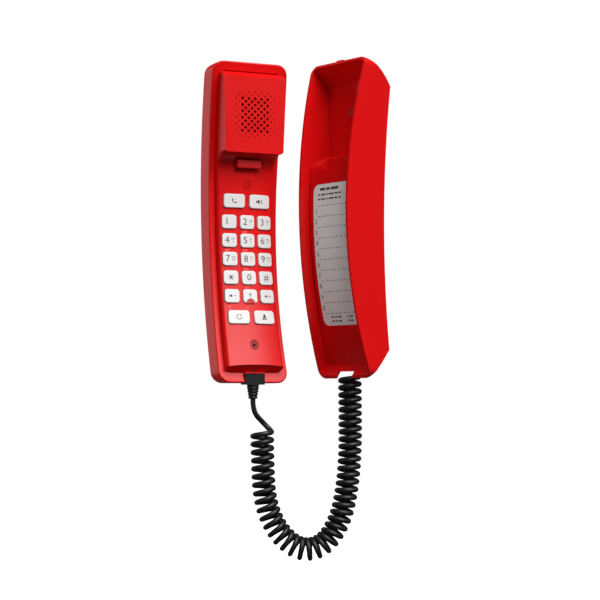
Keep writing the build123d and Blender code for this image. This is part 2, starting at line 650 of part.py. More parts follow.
def handset_front_shell():
    shell = front_blank(0.0, COVE_RADIUS, front_plan(RUNNING_GAP, 0.0, 0.0)) - end_wedge()
    edge = [e for e in shell.edges() if e.geom_type != GeomType.LINE and e.center().Y < -4
            and abs(e.center().X) > 19.0 and END_SLOPE[1][1] < e.center().Z < EAR_BOTTOM + 0.5]
    shell = fillet(edge, EDGE_ROUND)
    inner = front_blank(FRONT_WALL, 0.0, front_plan(FRONT_WALL + RUNNING_GAP, 2.0, 5.8))
    inner &= box((-40, 40), (-50, FRONT_SKIRT), (-120, FRONT_TOP - 2.0))
    shell -= inner
    for name, x, z, size in key_list():
        shell -= face_frame(x, z).location * key_block(size, KEY_GAP, -6, 6)
    cup = rectangle(HOOK_RECESS[0] + 3, HOOK_RECESS[1] + 3, 3.0, (0, HOOK_Z))
    cup = prism_y(cup, -HOOK_RECESS_FLOOR - 3.0, -HOOK_RECESS_FLOOR + 1.6)
    shell += cup & front_blank(0.5, 0.0, front_plan(1.0, 0.0, 0.0))
    shell -= prism_y(rectangle(*HOOK_RECESS, 2.5, (0, HOOK_Z)), -40, -HOOK_RECESS_FLOOR)
    hole = rectangle(HOOK_SIZE[0] + 2 * KEY_GAP, HOOK_SIZE[1] + 2 * KEY_GAP, 1.4, (0, HOOK_Z))
    shell -= prism_y(hole, -40, 0)
    shell -= prism_y(Pos(0, STATUS_Z) * Circle(STATUS_DIAMETER / 2), -20, 0)
    shell -= face_frame(0, MIC_Z).location * (Pos(0, 0, -5) * extrude(mic_oval(0.0), 10))
    shell -= grille_holes()
    for x, z in SCREW_POSTS:
        reach = -ear_inner_height(z) - 1.0 if z > 0 else -face_height(z) + FRONT_WALL + 0.9
        shell += cylinder_y(x, z, POST_RADIUS, reach, post_height(z))
        shell -= cylinder_y(x, z, HANDSET_SCREW[2] / 2, post_height(z) - 7, post_height(z) + 1)
    lip = COLLAR_HALF_WIDTH + 0.1
    shell += box((-lip, lip), (-BOOT_LEVEL - 4.2, -BOOT_LEVEL), (FRONT_BOTTOM - 0.4, FRONT_BOTTOM + 0.6))
    return shell - Pos(0, -BOOT_LEVEL, FRONT_BOTTOM + 3.0) * Cylinder(2.7, 12)


def handset_profile(front, back, top, bottom):
    """Side outline between two arches, each at its own offset from the rim."""
    heights = (bottom, (bottom + top) / 2, top)
    front_points = [(front - sag(z, RIM_RADIUS), z) for z in heights]
    back_points = [(back - sag(z, RIM_RADIUS), z) for z in heights]
    return [ThreePointArc(*front_points), Line(front_points[2], back_points[2]),
            ThreePointArc(*back_points), Line(back_points[0], front_points[0])]


def handset_blank(inset, front, back, corner, back_round):
    plan = outline(HANDSET_HALF_WIDTH - inset, HANDSET_SIDE_RADIUS, HANDSET_WAIST_Z, HANDSET_TOP - inset,
                   HANDSET_BOTTOM + inset, corner)
    side = handset_profile(front, back, HANDSET_TOP + 20, HANDSET_BOTTOM - 20)
    blank = prism_y(plan, -60, 60) & prism_x(side, 40)
    back_face = blank.faces().sort_by(Axis.Y)[-1]
    return fillet(back_face.edges(), back_round)


def handset_back_shell():
    blank = handset_blank(0.0, 0.0, HANDSET_DEPTH, HANDSET_CORNER, HANDSET_BACK_ROUND)
    rim = [e for e in blank.edges() if e.center().Y < 1.0 - sag(e.center().Z, RIM_RADIUS) and e.length > 5]
    shell = fillet(rim, 0.9)
    shell -= handset_blank(HANDSET_WALL, LAND_THICKNESS, HANDSET_DEPTH - HANDSET_WALL,
                           HANDSET_CORNER - HANDSET_WALL, HANDSET_BACK_ROUND - HANDSET_WALL)
    shell -= prism_y(front_plan(0.0, -RUNNING_GAP, -RUNNING_GAP), -60, 5)
    for x, z in SCREW_POSTS:
        inside = HANDSET_DEPTH - HANDSET_WALL - sag(z, RIM_RADIUS)
        outside = HANDSET_DEPTH - sag(z, RIM_RADIUS)
        shell += cylinder_y(x, z, POST_RADIUS + 0.4, post_height(z), outside + 5) & blank
        shell -= cylinder_y(x, z, HANDSET_SCREW[0] / 2 + 0.2, inside - 3.0, outside + 6)
        shell -= cylinder_y(x, z, HANDSET_SCREW[2] / 2 + 0.2, post_height(z) - 1, outside)
    slot = COLLAR_HALF_WIDTH + 0.3
    slot_back = -BOOT_LEVEL + BOOT_DIAMETERS[0] / 2 + 0.3
    return shell - box((-slot, slot), (-60, slot_back), (-120, FRONT_BOTTOM + 0.5))


def handset_screws():
    screws = []
    head_d, head_h, shank = HANDSET_SCREW
    for x, z in SCREW_POSTS:
        seat = HANDSET_DEPTH - HANDSET_WALL - sag(z, RIM_RADIUS) - 3.0
        head = cylinder_y(x, z, head_d / 2, seat, seat + head_h)
        head -= cross_slot(x, z, seat + head_h / 2, seat + 4, 1.8, 0.35)
        screws.append(head + cylinder_y(x, z, shank / 2, post_height(z) - 6, seat))
    return Compound(screws)


def ear_inner_height(z):
    """Height of the ear cup's inner face above the rim plane."""
    share = (z - EAR_BOTTOM + 0.5) / (EAR_TOP - EAR_BOTTOM + 0.5)
    return EAR_HEIGHT - FRONT_WALL + share * (EAR_HEIGHT_TOP - EAR_HEIGHT)


def ear_frame():
    slope = atan2(EAR_HEIGHT_TOP - EAR_HEIGHT, EAR_TOP - EAR_BOTTOM + 0.5)
    return Plane(origin=(0, -ear_inner_height(GRILLE_Z), GRILLE_Z), x_dir=(1, 0, 0),
                 z_dir=(0, -cos(slope), -sin(slope)))


def earpiece_cloth():
    cloth = extrude(Circle(SPEAKER_RADIUS), CLOTH_THICKNESS)
    return ear_frame().location * (Pos(0, 0, -CLOTH_THICKNESS) * cloth)


def earpiece_speaker():
    front = -CLOTH_THICKNESS
    body = Pos(0, 0, front - SPEAKER_RIM) * extrude(Circle(SPEAKER_RADIUS), SPEAKER_RIM)
    magnet = extrude(Circle(SPEAKER_RADIUS - 3.5), SPEAKER_DEPTH - SPEAKER_RIM)
    body += Pos(0, 0, front - SPEAKER_DEPTH) * magnet
    body -= Pos(0, 0, front - SPEAKER_RIM / 2) * extrude(Circle(SPEAKER_RADIUS - 2.0), SPEAKER_RIM / 2)
    return ear_frame().location * body


def keypad_mat():
    sheet = face_sheet(MAT_DROP, MAT_DROP + MAT_THICKNESS, *MAT_SPAN)
    return sheet & box((-MAT_HALF_WIDTH, MAT_HALF_WIDTH), (-40, 10), MAT_SPAN)


def handset_board():
    """Flat board behind the keypad mat, leaning with the lower half of the face."""
    low, high = BOARD_SPAN
    board = Box(2 * BOARD_HALF_WIDTH, BOARD_THICKNESS, high - low)
    return Pos(0, BOARD_FRONT, (low + high) / 2) * Rot(BOARD_LEAN, 0, 0) * board


def mic_oval(inset):
    return Ellipse(MIC_WINDOW[0] / 2 - inset, MIC_WINDOW[1] / 2 - inset)


def microphone_capsule():
    capsule = extrude(Circle(CAPSULE_RADIUS), CAPSULE_DEPTH)
    return face_frame(0, MIC_Z, MIC_SEAT + CAPSULE_DEPTH).location * capsule


def microphone_grommet():
    """Soft oval that fills the window and holds the capsule, with the sound hole through it."""
    body = Pos(0, 0, -MIC_SEAT) * extrude(mic_oval(RUNNING_GAP), MIC_SEAT - 0.35)
    body += Pos(0, 0, -MIC_SEAT - 2.4) * extrude(Circle(GROMMET_RADIUS), 2.9)
    body -= Pos(0, 0, -MIC_SEAT - 5) * extrude(Circle(CAPSULE_RADIUS), 5)
    body -= Pos(0, 0, -10) * extrude(Circle(MIC_HOLE / 2), 12)
    return face_frame(0, MIC_Z).location * body


def status_lens():
    top = -face_height(STATUS_Z)
    return cylinder_y(0, STATUS_Z, STATUS_DIAMETER / 2 - RUNNING_GAP, top + 0.1, top + FRONT_WALL + 1.4)


def light_emitters():
    lens_back = -face_height(STATUS_Z) + FRONT_WALL + 1.4
    return box((-1.6, 1.6), (lens_back, lens_back + 1.2), (STATUS_Z - 0.9, STATUS_Z + 0.9))


def hook_button():
    block = prism_y(rectangle(*HOOK_SIZE, 1.1, (0, HOOK_Z)), -HOOK_FRONT, -3.4)
    front = block.faces().sort_by(Axis.Y)[0]
    block = fillet(front.edges(), 0.7)
    flange = prism_y(rectangle(HOOK_SIZE[0] + 2.0, HOOK_SIZE[1] + 2.0, 1.5, (0, HOOK_Z)), -4.4, -3.4)
    return block + flange


def hook_micro_switch():
    body = box((-6.2, 6.2), (-0.9, 3.6), (HOOK_Z - 3.2, HOOK_Z + 3.2))
    return body + box((-1.2, 1.2), (-1.2, -0.9), (HOOK_Z - 1.2, HOOK_Z + 1.2))


def handset_weight():
    """Steel strip that gives the handset enough weight to stay on its hook."""
    strip = prism_y(rectangle(*WEIGHT_SIZE, 2.0, (0, WEIGHT_Z)), -60, 60)
    back = HANDSET_DEPTH - HANDSET_WALL
    return strip & prism_x(handset_profile(back - WEIGHT_THICKNESS, back, 90, 45), 15)


def cord_boot():
    """Tapered strain relief at the handset's lower end, with a collar in the rim band."""
    level = -BOOT_LEVEL
    top, bottom = BOOT_DIAMETERS
    collar = box((-COLLAR_HALF_WIDTH, COLLAR_HALF_WIDTH), (level - top / 2, level + top / 2),
                 (COLLAR_BOTTOM, FRONT_BOTTOM - 0.6))
    length = COLLAR_BOTTOM - BOOT_TIP
    cone = Pos(0, level, BOOT_TIP + length / 2) * Cone(bottom / 2, top / 2, length)
    stub = Pos(0, level, FRONT_BOTTOM + 2.0) * Cylinder(2.6, 7.2)
    return collar + cone + stub


def handset_wire_clip():
    """Plug of the cord's inner end, behind the boot."""
    return box((-3.4, 3.4), (-BOOT_LEVEL - 1.6, -BOOT_LEVEL + 3.0), (FRONT_BOTTOM + 5.8, FRONT_BOTTOM + 9.5))


# ---------------------------------------------------------------- placing
def turned(point, angle):
    a = radians(angle)
    return (point[0] * cos(a) - point[1] * sin(a), point[0] * sin(a) + point[1] * cos(a))


def rest_location():
    """Where the handset's own frame lies off the hook: the hung place, swung about the axis."""
    swing = REST_FACING - HUNG_FACING
    hung = (-AXIS_X, CRADLE_RIM_Y - HUNG_GAP - AXIS_Y)
    x, y = turned(hung, swing)
    return Location((AXIS_X + x, AXIS_Y + y, 0), (0, 0, REST_FACING))


REST = rest_location()


def rest_point(x, y, z):
    """A point of the handset's own frame, in the row frame at rest."""
    px, py = turned((x, y), REST_FACING)
    return (REST.position.X + px, REST.position.Y + py, z)


# ---------------------------------------------------------------- cord
def tube(points, diameter):
    """Tube along straight runs joined by arcs as large as their two runs allow."""
    vectors = [Vector(*p) for p in points]
    radii = []
    for before, here, after in zip(vectors, vectors[1:], vectors[2:]):
        turn = radians((here - before).get_angle(after - here))
        run = min((here - before).length, (after - here).length)
        radii.append(0.45 * run / tan(turn / 2))
    path = FilletPolyline(*points, radius=radii)
    section = Plane(origin=path @ 0, z_dir=path % 0) * Circle(diameter / 2)
    solid = sweep(section, path=path)
    expected = pi * diameter ** 2 / 4 * path.length
    print("tube", diameter, "length", round(path.length, 1), "radii", [round(r, 1) for r in radii],
          "volume ratio", round(solid.volume / expected, 4))
    return solid


def hang(s, z):
    """Point of the hanging loop: s across, from the cradle's coil axis to the boot, and z."""
    start = COIL_AXIS
    end = rest_point(0, -BOOT_LEVEL, 0)[:2]
    return (start[0] + s * (end[0] - start[0]), start[1] + s * (end[1] - start[1]), z)


COIL_ROUTE = [hang(0.0, COIL_TOP), hang(-0.006, -134.0), hang(0.0, -158.0), hang(0.035, -180.0),
              hang(0.105, -199.0), hang(0.275, -215.3), hang(0.525, -217.8), hang(0.753, -205.0),
              hang(0.876, -186.0), hang(0.9, -162.0), hang(0.905, -138.2)]
LEAD_START = hang(0.905, -135.8)
LEAD_ROUTE = [rest_point(0, -BOOT_LEVEL, BOOT_TIP), rest_point(0, -BOOT_LEVEL, -124.5),
              rest_point(3.4, -BOOT_LEVEL - 1.2, -129.5), rest_point(7.2, -BOOT_LEVEL - 2.8, -133.2),
              (LEAD_START[0] + 4.0, LEAD_START[1] + 4.4, LEAD_START[2])]


# ---------------------------------------------------------------- build
def cradle_pieces():
    return {
        "cradle_shell": cradle_shell(),
        "wall_plate": wall_plate(),
        "cradle_screw": cradle_screw(),
        "speed_dial_card": card_shape(0.0, 0.0, CARD_THICKNESS),
        "cradle_circuit_board": cradle_board(),
        "network_jack": network_jack(),
        "network_jack_contacts": jack_contacts(),
        "cord_jack": cord_jack(),
        "cord_plug": cord_plug(),
        "cord_tail": cord_tail(),
        "cord_coil": tube(COIL_ROUTE, COIL_DIAMETER),
        "cord_lead": tube(LEAD_ROUTE, WIRE),
    }


def handset_pieces():
    keys = key_list()
    mute = [(x, z) for name, x, z, size in keys if name == "key_mute"][0]
    pieces = {
        "handset_back_shell": handset_back_shell(),
        "handset_front_shell": handset_front_shell(),
        "earpiece_speaker": earpiece_speaker(),
        "earpiece_cloth": earpiece_cloth(),
        "keypad_mat": keypad_mat(),
        "handset_circuit_board": handset_board(),
        "microphone_capsule": microphone_capsule(),
        "microphone_grommet": microphone_grommet(),
        "status_light_lens": status_lens(),
        "mute_light_lens": mute_lens(*mute),
        "light_emitters": light_emitters(),
        "hook_micro_switch": hook_micro_switch(),
        "hook_switch_button": hook_button(),
        "handset_weight": handset_weight(),
        "handset_screws": handset_screws(),
        "cord_boot": cord_boot(),
        "handset_wire_clip": handset_wire_clip(),
    }
    for name, x, z, size in keys:
        pieces[name] = key_piece(name, x, z, size)
    return pieces


if __name__ == "__main__":
    for node, piece in cradle_pieces().items():
        export(node, piece)
    for node, piece in handset_pieces().items():
        export(node, REST * piece)
    print("handset origin at rest", [round(v, 3) for v in tuple(REST.position)])
    for name, x, z, size in key_list():
        frame = face_frame(x, z)
        way = turned((-frame.z_dir.X, -frame.z_dir.Y), REST_FACING)
        print(name, [round(v, 5) for v in (way[0], way[1], -frame.z_dir.Z)])
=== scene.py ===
import json
import math

import bpy
from bpy.props import FloatProperty, FloatVectorProperty, IntProperty, PointerProperty
from bpy.types import Operator, Panel, PropertyGroup
from mathutils import Matrix, Vector


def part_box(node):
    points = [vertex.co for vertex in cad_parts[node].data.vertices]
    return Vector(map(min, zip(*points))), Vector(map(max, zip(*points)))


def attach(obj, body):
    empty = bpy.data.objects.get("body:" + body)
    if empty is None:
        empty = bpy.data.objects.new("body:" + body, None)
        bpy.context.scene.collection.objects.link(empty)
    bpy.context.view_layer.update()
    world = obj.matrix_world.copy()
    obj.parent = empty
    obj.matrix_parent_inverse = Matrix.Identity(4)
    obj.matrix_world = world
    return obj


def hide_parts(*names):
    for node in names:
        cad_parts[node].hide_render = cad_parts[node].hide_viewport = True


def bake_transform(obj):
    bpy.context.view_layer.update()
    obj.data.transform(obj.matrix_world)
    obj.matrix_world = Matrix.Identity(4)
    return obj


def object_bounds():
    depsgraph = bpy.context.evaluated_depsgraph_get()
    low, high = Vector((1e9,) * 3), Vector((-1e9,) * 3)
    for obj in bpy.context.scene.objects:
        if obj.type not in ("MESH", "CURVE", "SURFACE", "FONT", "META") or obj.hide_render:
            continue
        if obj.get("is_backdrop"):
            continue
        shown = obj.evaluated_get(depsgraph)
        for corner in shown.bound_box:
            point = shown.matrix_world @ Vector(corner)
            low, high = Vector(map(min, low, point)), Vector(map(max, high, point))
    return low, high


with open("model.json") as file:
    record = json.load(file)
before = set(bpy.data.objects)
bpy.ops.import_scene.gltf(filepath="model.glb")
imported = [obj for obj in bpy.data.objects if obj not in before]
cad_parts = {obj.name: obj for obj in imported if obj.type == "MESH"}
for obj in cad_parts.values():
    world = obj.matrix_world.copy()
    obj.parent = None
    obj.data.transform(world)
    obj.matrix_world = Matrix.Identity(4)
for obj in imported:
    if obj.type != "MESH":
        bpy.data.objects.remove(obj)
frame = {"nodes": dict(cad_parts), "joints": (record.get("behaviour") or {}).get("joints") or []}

bl_info = {
    "name": "Slimline wall telephone",
    "version": (1, 0, 0),
    "blender": (4, 5, 0),
    "location": "View3D > Sidebar > Telephone",
    "description": "Finishes, key markings, dial card, curly cord and studio for a slimline wall telephone",
    "category": "Object",
}

NODES = frame["nodes"]
JOINTS = {joint["child"]: joint for joint in frame["joints"]}
MM = 0.001
UP = Vector((0.0, 0.0, 1.0))

# Marks on the keys: the main figure and the small letters beside it.
DIGIT_KEYS = {
    "key_1": ("1", ""), "key_2": ("2", "AB\nC"), "key_3": ("3", "DE\nF"),
    "key_4": ("4", "GH\nI"), "key_5": ("5", "JK\nL"), "key_6": ("6", "MN\nO"),
    "key_7": ("7", "PQ\nRS"), "key_8": ("8", "TU\nV"), "key_9": ("9", "WX\nYZ"),
    "key_0": ("0", ""), "key_hash": ("#", ""),
}

# Control points, in millimetres, of the coil's centre line, from the cradle round the loop to the top turn.
COIL_ROUTE = (
    (-1.5, -11.0, -102.6), (-1.302, -10.667, -134.0), (-1.5, -11.0, -158.0), (-2.657, -12.942, -180.0),
    (-4.97, -16.824, -199.0), (-10.589, -26.255, -215.3), (-18.851, -40.123, -217.8),
    (-26.386, -52.77, -205.0), (-30.451, -59.593, -186.0), (-31.244, -60.925, -162.0),
    (-31.41, -61.202, -138.2),
)

# Sides of the pictograms' discs and rings, and how near its end a point of a key or boot counts as on it.
DISC_SIDES = 24
RING_SIDES = 48
KEY_TOP_SKIN = 0.02 * MM
BOOT_TIP_SKIN = 0.05 * MM

# Pitch, in metres, of the wave texture's bands at a Scale of 1.
WAVE_PITCH = 0.32

# Dashed rows and numbers on the dial card.
DASH, DASH_GAP, DASH_HEIGHT = 2.6 * MM, 1.7 * MM, 0.34 * MM
ROW_NUMBER_SIZE, ROW_NUMBER_INSET, ROW_NUMBER_RISE = 4.2 * MM, 2.7 * MM, 0.48
WORD_GAP = 1.0 * MM
CARD_INK_DEPTH = 0.08 * MM

# The card's rows of bars in place of words, in millimetres: drop from the top edge or rise from the
# bottom one, start and end from a side edge, bar height and bar lengths.
HEADER_ROWS = (
    (3.4, 6.5, 6.0, 1.7, (5.2, 3.6, 7.4, 4.4)),
    (7.0, 4.6, 3.6, 1.0, (2.2, 4.0, 1.5, 5.0, 3.1)),
    (10.0, 4.6, 3.6, 1.0, (2.2, 4.0, 1.5, 5.0, 3.1)),
)
FOOTER_RISES = (5.6, 2.9)
FOOTER_BAR_HEIGHT = 0.9
FOOTER_LEFT = (8.5, 20.5, (2.6, 1.8, 3.4))
FOOTER_RIGHT = (11.5, 4.5, (1.6, 2.8))

# The cord: points of its two leads are thinned to every sixth, and the wire is softened where a lead
# meets the coil, between these points counted from the start and from the end.
LEAD_THINNING = 6
SOFTENING_ROUNDS = 12
SOFT_START = (2, 26)
SOFT_END = (-30, -4)

# Soft ribs on the cord's boot.
RIB_COUNT = 4
RIB_WIRE = 0.42 * MM
RIB_STRETCH = 1.3
FIRST_RIB, RIB_PITCH = 1.0, 2.0
BOOT_TAPER = 0.16

# Name, place in metres, side, power in watts, and whether it leaves a highlight.
SOFT_LIGHTS = (
    ("key_light", (1.6, -0.2, 1.7), 1.9, 80.0, True),
    ("side_light", (-1.55, -0.35, 0.3), 1.1, 15.0, False),
    ("front_light", (-0.3, -1.9, 0.2), 0.8, 5.0, False),
    ("sheen_light", (-1.5, -0.25, 0.2), 1.1, 1.4, True),
)
LIGHTS_AIM = (-0.02, -0.03, 0.0)
SURROUND_SEEN, SURROUND_LIGHT = 1.0, 0.07
FLOOR_SIZE, FLOOR_GLOW = 12.0, 1.1


# ---------------------------------------------------------------- shader trees
class Channel:
    """A shader socket that can be used in sums."""

    def __init__(self, finish, socket):
        self.finish = finish
        self.socket = socket

    def maths(self, operation, first, second):
        return self.finish.node("ShaderNodeMath", {"operation": operation}, {0: first, 1: second})

    def __add__(self, other):
        return self.maths("ADD", self, other)

    def __radd__(self, other):
        return self.maths("ADD", other, self)

    def __mul__(self, other):
        return self.maths("MULTIPLY", self, other)

    def __rmul__(self, other):
        return self.maths("MULTIPLY", other, self)


class Finish:
    """One material's shader tree."""

    def __init__(self, name, **surface):
        self.material = bpy.data.materials.new(name)
        self.material.use_nodes = True
        self.tree = self.material.node_tree
        self.shader = self.tree.nodes["Principled BSDF"]
        for socket, value in surface.items():
            self.feed(self.shader.inputs[socket.replace("_", " ")], value)

    def feed(self, socket, value):
        if isinstance(value, Channel):
            self.tree.links.new(value.socket, socket)
        elif isinstance(value, (tuple, list)) and len(value) == 3 and socket.type == "RGBA":
            socket.default_value = (*value, 1.0)
        else:
            socket.default_value = value

    def node(self, kind, settings=None, sockets=None, output=0):
        made = self.tree.nodes.new(kind)
        for name, value in (settings or {}).items():
            setattr(made, name, value)
        for name, value in (sockets or {}).items():
            self.feed(made.inputs[name], value)
        return Channel(self, made.outputs[output])

    def place(self, scale=(1.0, 1.0, 1.0), turn=(0.0, 0.0, 0.0)):
        """Object coordinates, stretched by scale and turned."""
        here = self.node("ShaderNodeTexCoord", output="Object")
        return self.node("ShaderNodeMapping", {}, {"Vector": here, "Scale": scale, "Rotation": turn})

    def noise(self, scale, vector, detail=2.0, roughness=0.5):
        sockets = {"Vector": vector, "Scale": scale, "Detail": detail, "Roughness": roughness}
        return self.node("ShaderNodeTexNoise", {}, sockets, "Fac")

    def blend(self, share, first, second):
        """Mix of two colours: the node's sockets 6 and 7 are its colours, and its output 2 the mix."""
        return self.node("ShaderNodeMix", {"data_type": "RGBA"}, {"Factor": share, 6: first, 7: second}, 2)

    def colour(self, value):
        self.feed(self.shader.inputs["Base Color"], value)

    def rough(self, value):
        self.feed(self.shader.inputs["Roughness"], value)

    def relief(self, height, depth):
        bump = self.node("ShaderNodeBump", {}, {"Height": height, "Strength": 1.0, "Distance": depth})
        self.feed(self.shader.inputs["Normal"], bump)


def shade(colour, factor):
    return tuple(channel * factor for channel in colour)


def moulded(name, colour, rough, grain=0.45 * MM, depth=0.004 * MM, drift=0.06, **surface):
    """Moulded plastic: fine spark-eroded grain, slow colour drift and polish that varies a little."""
    finish = Finish(name, **surface)
    at = finish.place()
    slow = finish.noise(18.0, at, 3.0)
    finish.colour(finish.blend(slow, shade(colour, 1.0 - drift), shade(colour, 1.0 + drift)))
    handled = finish.noise(60.0, at, 4.0)
    finish.rough(handled * 0.10 + (rough - 0.05))
    finish.relief(finish.noise(1.0 / grain, at, 2.0), depth)
    return finish.material


def woven(name, colour, pitch):
    """Acoustic cloth: two crossing sets of threads."""
    finish = Finish(name, Roughness=0.9)
    at = finish.place()
    sockets = {"Vector": at, "Scale": WAVE_PITCH / pitch}
    weft = finish.node("ShaderNodeTexWave", {"bands_direction": "Z"}, sockets, "Fac")
    warp = finish.node("ShaderNodeTexWave", {"bands_direction": "Y"}, sockets, "Fac")
    threads = weft * warp
    finish.colour(finish.blend(threads, shade(colour, 0.3), colour))
    finish.relief(threads, 0.05 * MM)
    return finish.material


def brushed(name, colour, rough, stretch=(1.0, 1.0, 12.0)):
    """Metal with fine drawn lines."""
    finish = Finish(name, Metallic=1.0)
    at = finish.place(scale=stretch)
    lines = finish.noise(900.0, at, 3.0)
    finish.colour(finish.blend(lines, shade(colour, 0.85), colour))
    finish.rough(lines * 0.2 + (rough - 0.1))
    finish.relief(lines, 0.006 * MM)
    return finish.material


def rubbery(name, colour, rough, grain=0.25 * MM, depth=0.008 * MM):
    """Soft PVC or silicone: satin, with a fine skin and paler rubbed places."""
    finish = Finish(name)
    at = finish.place()
    rubbed = finish.noise(140.0, at, 4.0)
    finish.colour(finish.blend(rubbed, shade(colour, 0.8), shade(colour, 1.5)))
    finish.rough(rubbed * 0.16 + (rough - 0.08))
    finish.relief(finish.noise(1.0 / grain, at, 2.0), depth)
    return finish.material


def printed_board(name, colour):
    """Solder mask over copper lanes."""
    finish = Finish(name, Roughness=0.35)
    at = finish.place(scale=(1.0, 0.0, 1.0))
    upright = finish.place(turn=(math.pi / 2, 0.0, 0.0))
    sockets = {"Vector": upright, "Scale": 260.0, "Mortar Size": 0.03}
    lanes = finish.node("ShaderNodeTexBrick", {}, sockets, "Fac")
    finish.colour(finish.blend(lanes, colour, shade(colour, 2.2)))
    finish.rough(finish.noise(300.0, at) * 0.2 + 0.25)
    finish.relief(lanes, 0.03 * MM)
    return finish.material


def card_stock(name, colour):
    """Grey card under a matt film, with a mottled fibre."""
    finish = Finish(name)
    at = finish.place()
    fibre = finish.noise(1500.0, at, 5.0, 0.7)
    cloudy = finish.noise(90.0, at, 2.0)
    finish.colour(finish.blend(fibre * 0.7 + cloudy * 0.3, shade(colour, 0.82), shade(colour, 1.18)))
    finish.rough(fibre * 0.2 + 0.4)
    finish.relief(fibre, 0.01 * MM)
    return finish.material


def clear_moulding(name, colour):
    """Clear plastic with faint flow marks."""
    finish = Finish(name, Transmission_Weight=0.6, IOR=1.49)
    at = finish.place()
    flow = finish.noise(400.0, at)
    finish.colour(finish.blend(flow, shade(colour, 0.9), colour))
    finish.rough(flow * 0.1 + 0.12)
    finish.relief(flow, 0.01 * MM)
    return finish.material


def ink(name, colour):
    """Matt print, a little uneven."""
    finish = Finish(name)
    spread = finish.noise(2500.0, finish.place(), 3.0)
    finish.colour(finish.blend(spread, shade(colour, 0.75), shade(colour, 1.25)))
    finish.rough(spread * 0.2 + 0.5)
    return finish.material


def dress(piece, material):
    piece.data.materials.clear()
    piece.data.materials.append(material)


# ---------------------------------------------------------------- modelling by hand
def rest_hands():
    """Nothing stays selected, and no piece is open for editing."""
    if bpy.context.object and bpy.context.object.mode != "OBJECT":
        bpy.ops.object.mode_set(mode="OBJECT")
    bpy.ops.object.select_all(action="DESELECT")


def take(*pieces):
    rest_hands()
    for piece in pieces:
        piece.select_set(True)
    bpy.context.view_layer.objects.active = pieces[0]


def settle(piece):
    """Move the piece's place, turn and size into its mesh."""
    take(piece)
    bpy.ops.object.transform_apply(location=True, rotation=True, scale=True)
    return piece


def join(pieces, name):
    take(*pieces)
    if len(pieces) > 1:
        bpy.ops.object.join()
    piece = bpy.context.object
    piece.name = piece.data.name = name
    return settle(piece)


def modify(piece, kind, **settings):
    take(piece)
    modifier = piece.modifiers.new(kind.title(), kind)
    for name, value in settings.items():
        setattr(modifier, name, value)
    bpy.ops.object.modifier_apply(modifier=modifier.name)
    return piece


def lettering(words, size, centre, spacing=1.0):
    rest_hands()
    bpy.ops.object.text_add(location=(0.0, 0.0, 0.0))
    text = bpy.context.object
    text.data.body = words
    text.data.size = size
    text.data.align_x = "CENTER"
    text.data.align_y = "CENTER"
    text.data.space_line = 0.85
    text.data.space_character = spacing
    text.data.resolution_u = 3
    bpy.ops.object.convert(target="MESH")
    flat = bpy.context.object
    flat.location = (centre[0], centre[1], 0.0)
    return settle(flat)


def bar(centre, width, height, turn=0.0, taper=1.0):
    """Flat bar, whose right end is taper times as high as its left."""
    rest_hands()
    bpy.ops.mesh.primitive_plane_add(size=1.0, location=(0.0, 0.0, 0.0))
    piece = bpy.context.object
    if taper != 1.0:
        bpy.ops.object.mode_set(mode="EDIT")
        bpy.ops.mesh.select_all(action="DESELECT")
        bpy.ops.object.mode_set(mode="OBJECT")
        for vertex in piece.data.vertices:
            vertex.select = vertex.co.x > 0
        bpy.ops.object.mode_set(mode="EDIT")
        bpy.ops.transform.resize(value=(1.0, taper, 1.0), center_override=(0.5, 0.0, 0.0))
        bpy.ops.object.mode_set(mode="OBJECT")
    piece.scale = (width, height, 1.0)
    piece.rotation_euler = (0.0, 0.0, turn)
    piece.location = (centre[0], centre[1], 0.0)
    return settle(piece)


def disc(centre, radius, top_only=False):
    rest_hands()
    bpy.ops.mesh.primitive_circle_add(vertices=DISC_SIDES, radius=radius, fill_type="NGON",
                                      location=(centre[0], centre[1], 0.0))
    piece = settle(bpy.context.object)
    if top_only:
        bpy.ops.object.mode_set(mode="EDIT")
        bpy.ops.mesh.select_all(action="SELECT")
        bpy.ops.mesh.bisect(plane_co=(centre[0], centre[1], 0.0), plane_no=(0.0, 1.0, 0.0),
                            clear_inner=True, use_fill=False)
        bpy.ops.object.mode_set(mode="OBJECT")
    return piece


def stroke_arc(centre, radius, stroke, start, sweep):
    """Part of a ring: a circle with some of its edge removed, extruded inwards."""
    rest_hands()
    bpy.ops.mesh.primitive_circle_add(vertices=RING_SIDES, radius=radius + stroke / 2,
                                      location=(centre[0], centre[1], 0.0))
    piece = settle(bpy.context.object)
    for vertex in piece.data.vertices:
        angle = math.degrees(math.atan2(vertex.co.y - centre[1], vertex.co.x - centre[0]))
        vertex.select = (angle - start) % 360 > sweep
    # An edge that stays selected would select its two ends again.
    for edge in piece.data.edges:
        edge.select = False
    bpy.ops.object.mode_set(mode="EDIT")
    bpy.ops.mesh.select_mode(type="VERT")
    if sweep < 360:
        bpy.ops.mesh.delete(type="VERT")
    bpy.ops.mesh.select_all(action="SELECT")
    bpy.ops.mesh.extrude_edges_move()
    inward = (radius - stroke / 2) / (radius + stroke / 2)
    bpy.ops.transform.resize(value=(inward, inward, 1.0), center_override=(centre[0], centre[1], 0.0))
    bpy.ops.object.mode_set(mode="OBJECT")
    return piece


def horn(x, y, size):
    """Loudspeaker sign: a small block and a flared cone."""
    return [bar((x - 0.50 * size, y), 0.28 * size, 0.5 * size),
            bar((x - 0.02 * size, y), 0.55 * size, 0.42 * size, taper=2.3)]


